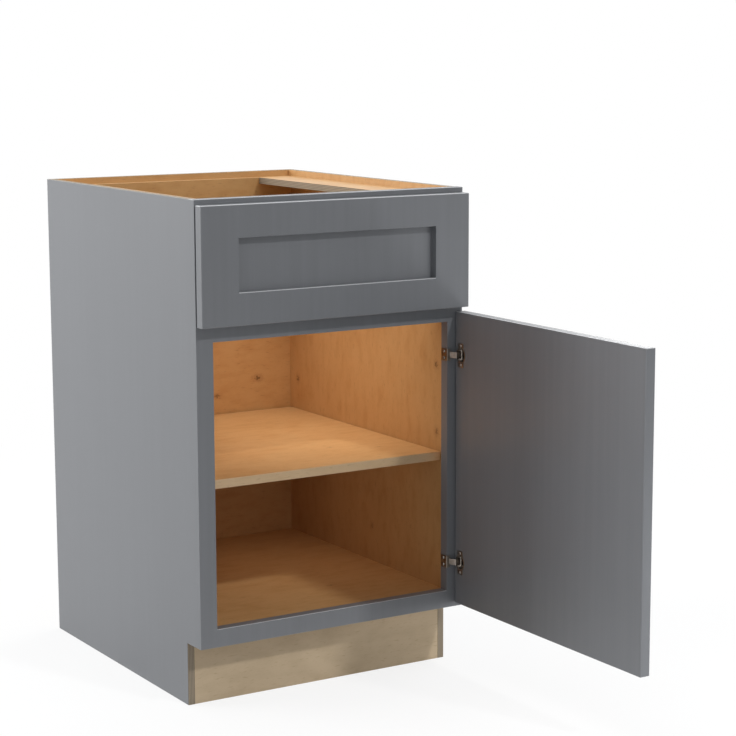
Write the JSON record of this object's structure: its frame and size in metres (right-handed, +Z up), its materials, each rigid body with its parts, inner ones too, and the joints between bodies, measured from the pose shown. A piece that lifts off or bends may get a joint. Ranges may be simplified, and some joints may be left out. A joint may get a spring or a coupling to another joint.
{
  "type": "kitchen base cabinet",
  "caption": "Framed kitchen base cabinet in grey paint with a drawer over a hinged door, an adjustable shelf, full-extension slides and a slotted wooden knife insert in the drawer.",
  "frame": {"origin": "floor level, middle of the width, wall side of the back panel", "axes": "+X to the right as seen from the room, +Y towards the wall, +Z up; the door and drawer face -Y"},
  "size_m": [0.5367, 1.1454, 0.8763],
  "materials": {
    "painted_birch_side": "birch plywood, satin grey paint outside, clear lacquer inside",
    "painted_frame": "solid hardwood, satin grey paint",
    "painted_front": "solid hardwood, satin grey paint",
    "birch_plywood": "birch plywood, clear satin lacquer",
    "drawer_birch": "solid birch, clear satin lacquer",
    "insert_birch": "solid birch, clear satin lacquer",
    "nickel_plated_steel": "nickel plate",
    "zinc_plated_steel": "bright zinc plate",
    "roller_nylon": "plain moulded",
    "cage_plastic": "plain moulded",
    "clip_plastic": "plain moulded",
    "lever_plastic": "plain moulded",
    "screw_steel": "zinc plate"
  },
  "bodies": {
    "door": {"door_panel": "painted_front", "door_rail_bottom": "painted_front", "door_rail_top": "painted_front", "door_stile_hinge": "painted_front", "door_stile_latch": "painted_front", "hinge_cup_lower": "nickel_plated_steel", "hinge_cup_screws": "nickel_plated_steel", "hinge_cup_upper": "nickel_plated_steel", "hinge_pins": "nickel_plated_steel"},
    "drawer": {"drawer_bottom": "drawer_birch", "drawer_box_back": "drawer_birch", "drawer_box_front": "drawer_birch", "drawer_clip_left": "clip_plastic", "drawer_clip_right": "clip_plastic", "drawer_front_panel": "painted_front", "drawer_front_rail_bottom": "painted_front", "drawer_front_rail_top": "painted_front", "drawer_front_screws": "screw_steel", "drawer_front_stile_left": "painted_front", "drawer_front_stile_right": "painted_front", "drawer_side_left": "drawer_birch", "drawer_side_right": "drawer_birch", "slide_drawer_member_left": "zinc_plated_steel", "slide_drawer_member_right": "zinc_plated_steel"},
    "knife_insert": {"knife_block_fingers": "insert_birch", "knife_block_spacers": "insert_birch", "knife_insert_base": "insert_birch", "knife_insert_fence": "insert_birch"},
    "shelf_board": {"shelf": "birch_plywood"},
    "slide_middles": {"slide_middle_member_left": "zinc_plated_steel", "slide_middle_member_right": "zinc_plated_steel"},
    "cages_outer": {"roller_cages_outer": "cage_plastic", "slide_rollers_outer": "roller_nylon"},
    "cages_inner": {"roller_cages_inner": "cage_plastic", "slide_rollers_inner": "roller_nylon"},
    "lever_left": {"clip_lever_left": "lever_plastic"},
    "lever_right": {"clip_lever_right": "lever_plastic"},
    "carcass": {"back_panel": "birch_plywood", "bottom_panel": "birch_plywood", "carcass_screws": "screw_steel", "frame_rail_bottom": "painted_frame", "frame_rail_middle": "painted_frame", "frame_rail_top": "painted_frame", "frame_stile_left": "painted_frame", "frame_stile_right": "painted_frame", "hanging_rail": "birch_plywood", "hinge_arm_lower": "nickel_plated_steel", "hinge_arm_upper": "nickel_plated_steel", "shelf_pins": "nickel_plated_steel", "side_panel_left": "painted_birch_side", "side_panel_right": "painted_birch_side", "slide_cabinet_member_left": "zinc_plated_steel", "slide_cabinet_member_right": "zinc_plated_steel", "slide_rear_brackets": "zinc_plated_steel", "toe_board": "birch_plywood", "top_brace_left": "birch_plywood", "top_brace_right": "birch_plywood"}
  },
  "joints": [
    {"name": "door_hinge", "type": "hinge", "parent": "carcass", "child": "door", "pos_m": [0.2589, -0.6206, 0.38722], "axis": [0, 0, 1], "range_deg": [-90, 15]},
    {"name": "drawer_slide", "type": "slide", "parent": "carcass", "child": "drawer", "axis": [0, -1, 0], "range_m": [0, 0.4755]},
    {"name": "slide_middles_slide", "type": "slide", "parent": "carcass", "child": "slide_middles", "axis": [0, -1, 0], "range_m": [0, 0.23825]},
    {"name": "cages_outer_slide", "type": "slide", "parent": "carcass", "child": "cages_outer", "axis": [0, -1, 0], "range_m": [0, 0.11938]},
    {"name": "cages_inner_slide", "type": "slide", "parent": "carcass", "child": "cages_inner", "axis": [0, -1, 0], "range_m": [0, 0.35713]},
    {"name": "lever_left_pivot", "type": "hinge", "parent": "drawer", "child": "lever_left", "pos_m": [-0.19705, -0.5812, 0.68445], "axis": [0, 0, 1], "range_deg": [0, 15], "stiffness_Nm_per_rad": 0.02},
    {"name": "lever_right_pivot", "type": "hinge", "parent": "drawer", "child": "lever_right", "pos_m": [0.19705, -0.5812, 0.68445], "axis": [0, 0, 1], "range_deg": [-15, 0], "stiffness_Nm_per_rad": 0.02},
    {"name": "shelf_lift", "type": "slide", "parent": "carcass", "child": "shelf_board", "axis": [0, 0, 1], "range_m": [0, 0.04]},
    {"name": "knife_insert_lift", "type": "slide", "parent": "drawer", "child": "knife_insert", "axis": [0, 0, 1], "range_m": [0, 0.04]}
  ],
  "couplings": [
    {"joint": "slide_middles_slide", "follows": "drawer_slide", "ratio": 0.5},
    {"joint": "cages_outer_slide", "follows": "drawer_slide", "ratio": 0.25},
    {"joint": "cages_inner_slide", "follows": "drawer_slide", "ratio": 0.75}
  ]
}
